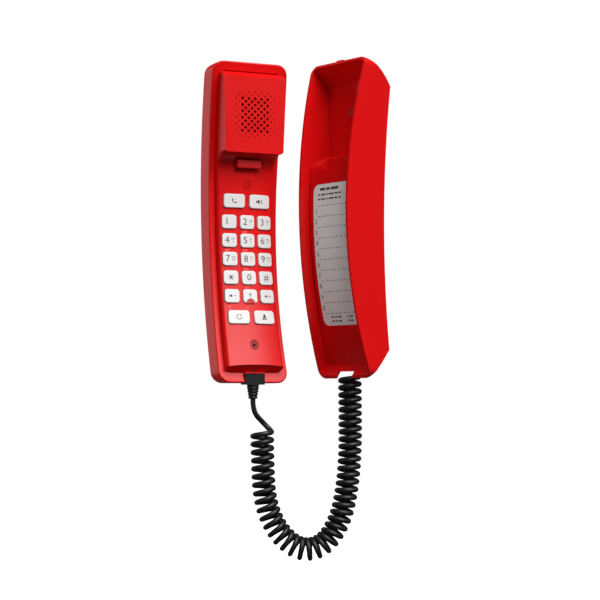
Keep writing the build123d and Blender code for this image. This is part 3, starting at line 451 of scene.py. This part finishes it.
# Each sign is drawn in the plane, in units of u, about the key's middle.
def call_sign(u):
    """Receiver with one arc of sound."""
    return [stroke_arc((0.35 * u, 0.75 * u), 1.9 * u, 0.55 * u, 175.0, 130.0),
            bar((-1.35 * u, 1.0 * u), 0.95 * u, 0.75 * u, 1.4),
            bar((1.2 * u, -1.0 * u), 0.95 * u, 0.75 * u, 0.25),
            stroke_arc((0.35 * u, 0.5 * u), 0.75 * u, 0.3 * u, 5.0, 80.0)]


def speaker_sign(u):
    arcs = [stroke_arc((-0.1 * u, 0.0), radius * u, 0.32 * u, -52.0, 104.0) for radius in (1.3, 2.0)]
    return horn(-0.7 * u, 0.0, 3.0 * u) + arcs


def star_sign(u):
    return [bar((0.0, 0.0), 3.9 * u, 0.5 * u, turn) for turn in (0.0, math.pi / 3, -math.pi / 3)]


def volume_down_sign(u):
    return horn(-0.7 * u, 0.0, 2.2 * u) + [bar((1.7 * u, 0.0), 1.3 * u, 0.34 * u)]


def volume_up_sign(u):
    return volume_down_sign(u) + [bar((1.7 * u, 0.0), 0.34 * u, 1.3 * u)]


def mute_sign(u):
    """Microphone in its cradle, on a stand."""
    return [disc((0.0, 1.75 * u), 0.5 * u), disc((0.0, 0.95 * u), 0.5 * u),
            bar((0.0, 1.35 * u), 1.0 * u, 0.8 * u),
            stroke_arc((0.0, 1.0 * u), 1.0 * u, 0.25 * u, 180.0, 180.0),
            bar((0.0, -0.45 * u), 0.25 * u, 0.9 * u), bar((0.0, -0.9 * u), 1.2 * u, 0.25 * u)]


def redial_sign(u):
    """Ring arrow."""
    tip = (1.65 * u * math.cos(0.9), 1.65 * u * math.sin(0.9))
    return [stroke_arc((0.0, 0.0), 1.65 * u, 0.4 * u, 75.0, 300.0),
            bar(tip, 1.1 * u, 0.35 * u, 0.5, taper=3.0)]


def voicemail_sign(u):
    """Head and shoulders over a line."""
    return [disc((0.0, 1.25 * u), 0.8 * u), disc((0.0, -0.75 * u), 1.45 * u, top_only=True),
            bar((0.0, -1.45 * u), 3.4 * u, 0.55 * u)]


SIGNS = {
    "key_call": call_sign, "key_speaker": speaker_sign, "key_star": star_sign,
    "key_volume_down": volume_down_sign, "key_mute": mute_sign, "key_volume_up": volume_up_sign,
    "key_redial": redial_sign, "key_voicemail": voicemail_sign,
}


def key_top(node):
    """Place on a key's top: its middle, the way across, the way up and the way out."""
    out = -Vector(JOINTS[node]["axis"]).normalized()
    across = UP.cross(out).normalized()
    points = [vertex.co for vertex in NODES[node].data.vertices]
    level = max(point.dot(out) for point in points)
    top = [point for point in points if point.dot(out) > level - KEY_TOP_SKIN]
    low = Vector([min(point[i] for point in top) for i in range(3)])
    high = Vector([max(point[i] for point in top) for i in range(3)])
    middle = (low + high) / 2
    middle += out * (level - middle.dot(out))
    upward = out.cross(across)
    return Matrix((
        (across.x, upward.x, out.x, middle.x),
        (across.y, upward.y, out.y, middle.y),
        (across.z, upward.z, out.z, middle.z),
        (0.0, 0.0, 0.0, 1.0),
    ))


def thicken(piece, depth):
    return modify(piece, "SOLIDIFY", thickness=depth, offset=0.0)


# ---------------------------------------------------------------- cord
def smooth_line(points):
    """Points along the NURBS curve that these control points give."""
    curve = bpy.data.curves.new("route", "CURVE")
    curve.dimensions = "3D"
    spline = curve.splines.new("NURBS")
    spline.points.add(len(points) - 1)
    for control, point in zip(spline.points, points):
        control.co = (*point, 1.0)
    spline.order_u = 3
    spline.use_endpoint_u = True
    spline.resolution_u = 40
    holder = bpy.data.objects.new("route", curve)
    bpy.context.scene.collection.objects.link(holder)
    mesh = bpy.data.meshes.new_from_object(holder.evaluated_get(bpy.context.evaluated_depsgraph_get()))
    line = [vertex.co.copy() for vertex in mesh.vertices]
    bpy.data.objects.remove(holder)
    return line


def along(line, distances):
    """The line's point and direction at each distance from its start."""
    found = []
    travelled, index = 0.0, 0
    for distance in distances:
        while index < len(line) - 2 and travelled + (line[index + 1] - line[index]).length < distance:
            travelled += (line[index + 1] - line[index]).length
            index += 1
        step = line[index + 1] - line[index]
        found.append((line[index] + step * ((distance - travelled) / step.length), step.normalized()))
    return found


def line_length(line):
    return sum((b - a).length for a, b in zip(line, line[1:]))


def ease(points, first, last, rounds):
    """Soften the corners between two points of a line, leaving the rest as it is."""
    points = list(points)
    for _ in range(rounds):
        before = list(points)
        for index in range(first, last):
            points[index] = before[index] * 0.5 + (before[index - 1] + before[index + 1]) * 0.25
    return points


def wire_tube(name, points, diameter):
    """Round wire along the points, with closed ends, as a mesh."""
    curve = bpy.data.curves.new(name, "CURVE")
    curve.dimensions = "3D"
    curve.bevel_depth = diameter / 2
    curve.bevel_resolution = 3
    curve.use_fill_caps = True
    spline = curve.splines.new("POLY")
    spline.points.add(len(points) - 1)
    for control, point in zip(spline.points, points):
        control.co = (*point, 1.0)
    holder = bpy.data.objects.new(name, curve)
    bpy.context.scene.collection.objects.link(holder)
    take(holder)
    bpy.ops.object.convert(target="MESH")
    piece = bpy.context.object
    bpy.ops.object.shade_smooth()
    return piece


# ---------------------------------------------------------------- settings
class ShellSettings(PropertyGroup):
    colour: FloatVectorProperty(name="Shell colour", description="Red of the mouldings", subtype="COLOR",
                                size=3, default=(0.78, 0.004, 0.005), min=0.0, max=1.0)
    rough: FloatProperty(name="Roughness", description="Polish of the red mouldings", default=0.34, min=0.0,
                         max=1.0, subtype="FACTOR")
    grain: FloatProperty(name="Grain", description="Pitch of the moulded grain", default=0.00035, min=0.0001,
                         subtype="DISTANCE", unit="LENGTH")


class KeySettings(PropertyGroup):
    colour: FloatVectorProperty(name="Key colour", description="White of the keys", subtype="COLOR", size=3,
                                default=(0.84, 0.84, 0.83), min=0.0, max=1.0)
    ink_colour: FloatVectorProperty(name="Ink colour", description="Main figures on the keys",
                                    subtype="COLOR", size=3, default=(0.03, 0.03, 0.035), min=0.0, max=1.0)
    pale_ink_colour: FloatVectorProperty(name="Pale ink colour", description="Small letters on the keys",
                                         subtype="COLOR", size=3, default=(0.22, 0.22, 0.24),
                                         min=0.0, max=1.0)
    digit_size: FloatProperty(name="Digit size", description="Size of the digits' lettering", default=0.0062,
                              min=0.001, subtype="DISTANCE", unit="LENGTH")
    letter_size: FloatProperty(name="Letter size", description="Size of the small letters", default=0.0021,
                               min=0.0005, subtype="DISTANCE", unit="LENGTH")
    digit_shift: FloatProperty(name="Digit shift", description="Digits beside letters stand this far left",
                               default=0.0016, min=0.0, subtype="DISTANCE", unit="LENGTH")
    sign_unit: FloatProperty(name="Sign unit", description="Module that the pictograms are drawn on",
                             default=0.001, min=0.0001, subtype="DISTANCE", unit="LENGTH")
    ink_depth: FloatProperty(name="Ink depth", description="Thickness of the printed ink", default=0.00006,
                             min=0.00001, subtype="DISTANCE", unit="LENGTH")


class CardSettings(PropertyGroup):
    # The default card colour holds painted light: it is brightened to stand in for a painted sheen on the
    # card, and tinted cyan to cancel the red light bounced onto it from the trough.
    colour: FloatVectorProperty(name="Card colour", description="Grey of the dial card", subtype="COLOR",
                                size=3, default=(0.82, 0.92, 0.92), min=0.0, max=1.0)
    ink_colour: FloatVectorProperty(name="Ink colour", description="Print on the dial card",
                                    subtype="COLOR", size=3, default=(0.05, 0.05, 0.055), min=0.0, max=1.0)
    rows: IntProperty(name="Rows", description="Numbered rows on the card", default=10, min=1, max=12)
    row_pitch: FloatProperty(name="Row pitch", description="From one dashed line to the next", default=0.0071,
                             min=0.003, subtype="DISTANCE", unit="LENGTH")
    first_line: FloatProperty(name="First line", description="From the card's top edge to the first dashes",
                              default=0.0144, min=0.0, subtype="DISTANCE", unit="LENGTH")
    margin: FloatProperty(name="Margin", description="From the card's left edge to the dashes",
                          default=0.0042, min=0.0, subtype="DISTANCE", unit="LENGTH")


class CordSettings(PropertyGroup):
    colour: FloatVectorProperty(name="Cord colour", description="Black of the cord", subtype="COLOR", size=3,
                                default=(0.010, 0.010, 0.011), min=0.0, max=1.0)
    wire: FloatProperty(name="Wire", description="Diameter of the cord's wire", default=0.0034, min=0.001,
                        subtype="DISTANCE", unit="LENGTH")
    coil: FloatProperty(name="Coil", description="Outer diameter of the coil", default=0.0159, min=0.005,
                        subtype="DISTANCE", unit="LENGTH")
    pitch_start: FloatProperty(name="Pitch at the cradle", description="From turn to turn by the cradle",
                               default=0.00485, min=0.002, subtype="DISTANCE", unit="LENGTH")
    pitch_end: FloatProperty(name="Pitch at the handset", description="From turn to turn by the handset",
                             default=0.0054, min=0.002, subtype="DISTANCE", unit="LENGTH")
    first_angle: FloatProperty(name="First angle", description="Where round the coil its first turn starts",
                               default=math.radians(-5.0), subtype="ANGLE", unit="ROTATION")
    last_side: FloatProperty(name="Last side", description="Bearing, from +X, of the coil's last point",
                             default=math.radians(56.0), subtype="ANGLE", unit="ROTATION")
    steps: IntProperty(name="Steps", description="Points to a turn", default=20, min=8, max=48)


class StageSettings(PropertyGroup):
    camera_place: FloatVectorProperty(name="Camera", description="Camera position", subtype="XYZ", size=3,
                                      default=(0.8915, -0.7965, -0.1189))
    camera_turn: FloatProperty(name="Camera turn", description="Camera's turn about the upright",
                               default=math.radians(50.25), subtype="ANGLE", unit="ROTATION")
    camera_tilt: FloatProperty(name="Camera tilt", description="How far the camera looks up",
                               default=math.radians(3.17), subtype="ANGLE", unit="ROTATION")
    lens: FloatProperty(name="Lens", description="Focal length in millimetres", default=107.8, min=20.0)
    floor_drop: FloatProperty(name="Floor", description="Floor below the cord's lowest point", default=0.12,
                              min=0.0, subtype="DISTANCE", unit="LENGTH")


# ---------------------------------------------------------------- pieces
class PHONE_OT_shells(Operator):
    """Finish the red mouldings of the cradle and the handset"""
    bl_idname = "phone.shells"
    bl_label = "Red mouldings"

    def execute(self, context):
        settings = context.scene.phone_shells
        colour = tuple(settings.colour)
        red = moulded("red_gloss_plastic", colour, settings.rough, settings.grain, 0.0025 * MM, 0.03,
                      Specular_IOR_Level=0.3)
        for node in ("cradle_shell", "handset_back_shell", "handset_front_shell"):
            dress(NODES[node], red)
        button = moulded("red_button_plastic", shade(colour, 0.9), settings.rough - 0.04, settings.grain)
        dress(NODES["hook_switch_button"], button)
        lens = moulded("red_lens_plastic", shade(colour, 0.85), 0.16, settings.grain, 0.001 * MM)
        dress(NODES["status_light_lens"], lens)
        dress(NODES["mute_light_lens"], lens)
        return {"FINISHED"}


class PHONE_OT_keys(Operator):
    """Finish the white keys"""
    bl_idname = "phone.keys"
    bl_label = "Keys"

    def execute(self, context):
        settings = context.scene.phone_keys
        white = moulded("white_key_plastic", tuple(settings.colour), 0.36, 0.3 * MM, 0.002 * MM, 0.02)
        for node in (*DIGIT_KEYS, *SIGNS):
            dress(NODES[node], white)
        return {"FINISHED"}


class PHONE_OT_key_marks(Operator):
    """Print digits, letters and pictograms on the keys"""
    bl_idname = "phone.key_marks"
    bl_label = "Key marks"

    def execute(self, context):
        settings = context.scene.phone_keys
        dark = ink("key_ink", tuple(settings.ink_colour))
        pale = ink("key_pale_ink", tuple(settings.pale_ink_colour))
        for node, (digit, letters) in DIGIT_KEYS.items():
            shift = settings.digit_shift if node not in ("key_0", "key_hash") else 0.0
            self.put(node, node + "_mark", [lettering(digit, settings.digit_size, (-shift, 0.0))], dark)
            if letters:
                beside = (settings.digit_shift * 1.45, 0.1 * MM)
                small = lettering(letters, settings.letter_size, beside, spacing=1.05)
                self.put(node, node + "_letters", [small], pale)
        for node, sign in SIGNS.items():
            material = pale if node == "key_mute" else dark
            self.put(node, node + "_mark", sign(settings.sign_unit), material)
        return {"FINISHED"}

    def put(self, node, name, parts, material):
        depth = bpy.context.scene.phone_keys.ink_depth
        mark = thicken(join(parts, name), depth)
        mark.matrix_world = key_top(node)
        settle(mark)
        dress(mark, material)
        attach(mark, node)


class PHONE_OT_dial_card(Operator):
    """Finish the dial card and print its rows"""
    bl_idname = "phone.dial_card"
    bl_label = "Dial card"

    def execute(self, context):
        settings = context.scene.phone_card
        card = NODES["speed_dial_card"]
        # The card's colour carries a painted sheen (raised brightness) and a cyan tint against red bounce
        # light.
        dress(card, card_stock("grey_card_painted_sheen", tuple(settings.colour)))
        low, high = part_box("speed_dial_card")
        left, right = low.x + settings.margin, high.x - settings.margin * 0.5
        parts = []
        for row in range(settings.rows + 1):
            z = high.z - settings.first_line - row * settings.row_pitch
            x = left
            while x + DASH < right:
                parts.append(bar((x + DASH / 2, z), DASH, DASH_HEIGHT))
                x += DASH + DASH_GAP
            if row < settings.rows:
                place = (low.x + ROW_NUMBER_INSET, z - settings.row_pitch * ROW_NUMBER_RISE)
                parts.append(lettering(str((row + 1) % 10), ROW_NUMBER_SIZE, place))
        for drop, start, end, height, lengths in HEADER_ROWS:
            z = high.z - drop * MM
            parts += self.words(z, low.x + start * MM, high.x - end * MM, height * MM, lengths)
        for rise in FOOTER_RISES:
            z = low.z + rise * MM
            start, end, lengths = FOOTER_LEFT
            parts += self.words(z, low.x + start * MM, low.x + end * MM, FOOTER_BAR_HEIGHT * MM, lengths)
            start, end, lengths = FOOTER_RIGHT
            parts += self.words(z, high.x - start * MM, high.x - end * MM, FOOTER_BAR_HEIGHT * MM, lengths)
        print_layer = join(parts, "dial_card_print")
        in_front = Matrix.Translation((0.0, low.y - 5.0 * MM, 0.0))
        print_layer.matrix_world = in_front @ Matrix.Rotation(math.pi / 2, 4, "X")
        settle(print_layer)
        modify(print_layer, "SHRINKWRAP", target=card, wrap_method="PROJECT", use_project_y=True,
               use_positive_direction=True, use_negative_direction=False, offset=0.0)
        thicken(print_layer, CARD_INK_DEPTH)
        dress(print_layer, ink("card_ink", tuple(settings.ink_colour)))
        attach(print_layer, "cradle")
        return {"FINISHED"}

    def words(self, z, start, end, height, lengths):
        """A row of short bars in place of words."""
        parts, x, index = [], start, 0
        while x + lengths[index % len(lengths)] * MM < end:
            length = lengths[index % len(lengths)] * MM
            parts.append(bar((x + length / 2, z), length, height))
            x += length + WORD_GAP
            index += 1
        return parts


class PHONE_OT_cord(Operator):
    """Wind the curly cord from the cradle's socket to the handset's boot"""
    bl_idname = "phone.cord"
    bl_label = "Curly cord"

    def execute(self, context):
        settings = context.scene.phone_cord
        route = smooth_line([Vector(point) * MM for point in COIL_ROUTE])
        turns = self.helix(route, settings)
        plug_low, plug_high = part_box("cord_plug")
        leave = Vector(((plug_low.x + plug_high.x) / 2, (plug_low.y + plug_high.y) / 2, plug_low.z))
        boot = middle_of(boot_tip())
        first, last = turns[0], turns[-1]
        start = smooth_line([leave, leave - UP * 2.0 * MM, leave - UP * 3.6 * MM + (first - leave) * 0.35,
                             first - (turns[1] - turns[0]).normalized() * 2.5 * MM, first])
        onward = (turns[-1] - turns[-2]).normalized()
        outward = (last - route[-1]).normalized()
        end = smooth_line([last, last + onward * 3.2 * MM - outward * 0.8 * MM,
                           last + onward * 5.0 * MM - outward * 5.5 * MM + UP * 3.0 * MM,
                           boot + outward * 3.4 * MM + onward * 1.8 * MM - UP * 11.5 * MM,
                           boot - UP * 8.0 * MM, boot])
        points = start[:-1:LEAD_THINNING] + turns + end[LEAD_THINNING::LEAD_THINNING]
        if (len(end) - 1) % LEAD_THINNING:
            points.append(end[-1])
        points = ease(points, *SOFT_START, SOFTENING_ROUNDS)
        points = ease(points, len(points) + SOFT_END[0], len(points) + SOFT_END[1], SOFTENING_ROUNDS)
        cord = wire_tube("curly_cord", points, settings.wire)
        dress(cord, rubbery("black_cord", tuple(settings.colour), 0.42))
        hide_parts("cord_coil", "cord_lead", "cord_tail")
        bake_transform(cord)
        round(line_length(points), 3)
        return {"FINISHED"}

    def helix(self, route, settings):
        """Points of the wire, wound right-handed about the route, from one set side to another."""
        radius = (settings.coil - settings.wire) / 2
        whole = line_length(route) - settings.wire / 2
        distance, turned = settings.wire * 0.55, 0.0
        stations, angles = [], []
        while distance < whole:
            stations.append(distance)
            angles.append(turned)
            pitch = settings.pitch_start + (settings.pitch_end - settings.pitch_start) * distance / whole
            distance += pitch / settings.steps
            turned += 2 * math.pi / settings.steps
        rings, side = [], Vector((1.0, 0.0, 0.0))
        for centre, direction in along(route, stations):
            side = (side - direction * side.dot(direction)).normalized()
            rings.append((centre, side, direction.cross(side)))
        leaving = Vector((math.cos(settings.last_side), math.sin(settings.last_side), 0.0))
        final = math.atan2(leaving.dot(rings[-1][2]), leaving.dot(rings[-1][1]))
        wanted = (final - settings.first_angle - angles[-1] + math.pi) % (2 * math.pi) - math.pi
        stretch = (angles[-1] + wanted) / angles[-1]
        points = []
        for (centre, side, other), angle in zip(rings, angles):
            angle = settings.first_angle + angle * stretch
            points.append(centre + side * (radius * math.cos(angle)) + other * (radius * math.sin(angle)))
        return points


def boot_tip():
    """Points round the narrow end of the cord's boot."""
    points = [vertex.co for vertex in NODES["cord_boot"].data.vertices]
    lowest = min(point.z for point in points)
    return [point for point in points if point.z < lowest + BOOT_TIP_SKIN]


def middle_of(points):
    return sum(points, Vector()) / len(points)


class PHONE_OT_boot_ribs(Operator):
    """Ring the cord's tapered boot with soft ribs"""
    bl_idname = "phone.boot_ribs"
    bl_label = "Boot ribs"

    def execute(self, context):
        tip = boot_tip()
        middle, lowest = middle_of(tip), min(point.z for point in tip)
        narrow = max((point - middle).length for point in tip)
        ribs = []
        for step in range(RIB_COUNT):
            rest_hands()
            height = (FIRST_RIB + RIB_PITCH * step) * MM
            bpy.ops.mesh.primitive_torus_add(major_radius=narrow + height * BOOT_TAPER, minor_radius=RIB_WIRE,
                                             major_segments=40, minor_segments=8,
                                             location=(middle.x, middle.y, lowest + height))
            rib = bpy.context.object
            rib.scale = (1.0, 1.0, RIB_STRETCH)
            ribs.append(settle(rib))
        boot = join(ribs, "boot_ribs")
        bpy.ops.object.shade_smooth()
        dress(boot, rubbery("black_rib", (0.012, 0.012, 0.013), 0.45))
        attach(boot, "handset")
        return {"FINISHED"}


class PHONE_OT_fittings(Operator):
    """Finish the plate, sockets, boards, screws and the handset's inner pieces"""
    bl_idname = "phone.fittings"
    bl_label = "Fittings"

    def execute(self, context):
        finishes = {
            moulded("black_plate_plastic", (0.035, 0.035, 0.037), 0.5, 0.6 * MM, 0.01 * MM): ("wall_plate",),
            moulded("black_socket_plastic", (0.012, 0.012, 0.013), 0.38): (
                "network_jack", "cord_jack", "handset_wire_clip", "hook_micro_switch"),
            brushed("zinc_steel", (0.62, 0.62, 0.65), 0.32): ("cradle_screw", "handset_screws"),
            brushed("gilt_brass", (0.85, 0.62, 0.22), 0.25): ("network_jack_contacts",),
            clear_moulding("clear_plug_plastic", (0.8, 0.82, 0.85)): ("cord_plug",),
            woven("black_cloth", (0.03, 0.03, 0.03), 0.35 * MM): ("earpiece_cloth",),
            moulded("black_speaker_plastic", (0.02, 0.02, 0.02), 0.6): ("earpiece_speaker",),
            rubbery("grey_silicone", (0.3, 0.3, 0.3), 0.55): ("keypad_mat",),
            printed_board("green_board", (0.02, 0.14, 0.05)): (
                "handset_circuit_board", "cradle_circuit_board"),
            brushed("microphone_can", (0.8, 0.8, 0.82), 0.3): ("microphone_capsule",),
            rubbery("dark_grommet", (0.26, 0.002, 0.002), 0.62): ("microphone_grommet",),
            moulded("emitter_resin", (0.75, 0.75, 0.7), 0.3): ("light_emitters",),
            brushed("blackened_iron", (0.18, 0.18, 0.19), 0.6, stretch=(1.0, 1.0, 1.0)): ("handset_weight",),
            rubbery("black_boot", (0.012, 0.012, 0.013), 0.4): ("cord_boot",),
        }
        for material, nodes in finishes.items():
            for node in nodes:
                dress(NODES[node], material)
        return {"FINISHED"}


class PHONE_OT_studio(Operator):
    """Pale floor, soft lights, white surround and the camera"""
    bl_idname = "phone.studio"
    bl_label = "Studio"

    def execute(self, context):
        settings = context.scene.phone_stage
        self.floor(settings)
        self.surround(context.scene)
        for light in SOFT_LIGHTS:
            self.soft_light(*light)
        self.camera(context.scene, settings)
        return {"FINISHED"}

    def floor(self, settings):
        rest_hands()
        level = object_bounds()[0][2] - settings.floor_drop
        bpy.ops.mesh.primitive_plane_add(size=FLOOR_SIZE, location=(0.0, 0.0, level))
        floor = bpy.context.object
        floor.name = "floor"
        settle(floor)
        finish = Finish("pale_floor", Roughness=0.9, Emission_Color=(1.0, 1.0, 1.0),
                        Emission_Strength=FLOOR_GLOW)
        speck = finish.noise(30.0, finish.place())
        finish.colour(finish.blend(speck, (0.86, 0.86, 0.86), (0.9, 0.9, 0.9)))
        dress(floor, finish.material)
        floor.visible_diffuse = False
        floor.visible_glossy = False
        floor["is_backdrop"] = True

    def surround(self, scene):
        """White to look at, and dimmer as a light, so that the gloss keeps its depth."""
        world = bpy.data.worlds.new("studio")
        world.use_nodes = True
        tree = world.node_tree
        seen = tree.nodes["Background"]
        seen.inputs["Color"].default_value = (1.0, 1.0, 1.0, 1.0)
        seen.inputs["Strength"].default_value = SURROUND_SEEN
        lighting = tree.nodes.new("ShaderNodeBackground")
        lighting.inputs["Color"].default_value = (1.0, 1.0, 1.0, 1.0)
        lighting.inputs["Strength"].default_value = SURROUND_LIGHT
        rays = tree.nodes.new("ShaderNodeLightPath")
        choice = tree.nodes.new("ShaderNodeMixShader")
        tree.links.new(rays.outputs["Is Camera Ray"], choice.inputs["Fac"])
        tree.links.new(lighting.outputs[0], choice.inputs[1])
        tree.links.new(seen.outputs[0], choice.inputs[2])
        tree.links.new(choice.outputs[0], tree.nodes["World Output"].inputs["Surface"])
        scene.world = world

    def soft_light(self, name, place, size, power, shines):
        """Square lamp aimed at the telephone; one that doesn't shine leaves no highlight."""
        rest_hands()
        bpy.ops.object.light_add(type="AREA", location=place)
        light = bpy.context.object
        light.name = name
        light.data.shape = "SQUARE"
        light.data.size = size
        light.data.energy = power
        light.visible_glossy = shines
        towards = Vector(LIGHTS_AIM) - Vector(place)
        light.rotation_euler = towards.to_track_quat("-Z", "Y").to_euler()

    def camera(self, scene, settings):
        rest_hands()
        bpy.ops.object.camera_add(location=tuple(settings.camera_place),
                                  rotation=(math.pi / 2 + settings.camera_tilt, 0.0, settings.camera_turn))
        camera = bpy.context.object
        camera.data.sensor_width = 36.0
        camera.data.lens = settings.lens
        camera.data.clip_end = 30.0
        scene.camera = camera
        scene.view_settings.view_transform = "Standard"
        scene.view_settings.look = "None"


class PHONE_PT_panel(Panel):
    """Lists the telephone's pieces in the sidebar"""
    bl_label = "Telephone"
    bl_idname = "PHONE_PT_panel"
    bl_space_type = "VIEW_3D"
    bl_region_type = "UI"
    bl_category = "Telephone"

    def draw(self, context):
        for operator in OPERATORS:
            self.layout.operator(operator.bl_idname)
        for group in SETTINGS:
            for name in SETTINGS[group].__annotations__:
                self.layout.prop(getattr(context.scene, group), name)


SETTINGS = {
    "phone_shells": ShellSettings,
    "phone_keys": KeySettings,
    "phone_card": CardSettings,
    "phone_cord": CordSettings,
    "phone_stage": StageSettings,
}
OPERATORS = (PHONE_OT_shells, PHONE_OT_keys, PHONE_OT_key_marks, PHONE_OT_dial_card, PHONE_OT_cord,
             PHONE_OT_boot_ribs, PHONE_OT_fittings, PHONE_OT_studio)


def register():
    for group in SETTINGS.values():
        bpy.utils.register_class(group)
    for name, group in SETTINGS.items():
        setattr(bpy.types.Scene, name, PointerProperty(type=group))
    for operator in OPERATORS:
        bpy.utils.register_class(operator)
    bpy.utils.register_class(PHONE_PT_panel)


def unregister():
    bpy.utils.unregister_class(PHONE_PT_panel)
    for operator in reversed(OPERATORS):
        bpy.utils.unregister_class(operator)
    for name, group in SETTINGS.items():
        delattr(bpy.types.Scene, name)
        bpy.utils.unregister_class(group)


def main():
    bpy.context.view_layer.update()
    register()
    for operator in OPERATORS:
        group, action = operator.bl_idname.split(".")
        getattr(getattr(bpy.ops, group), action)()


if __name__ == "__main__":
    main()
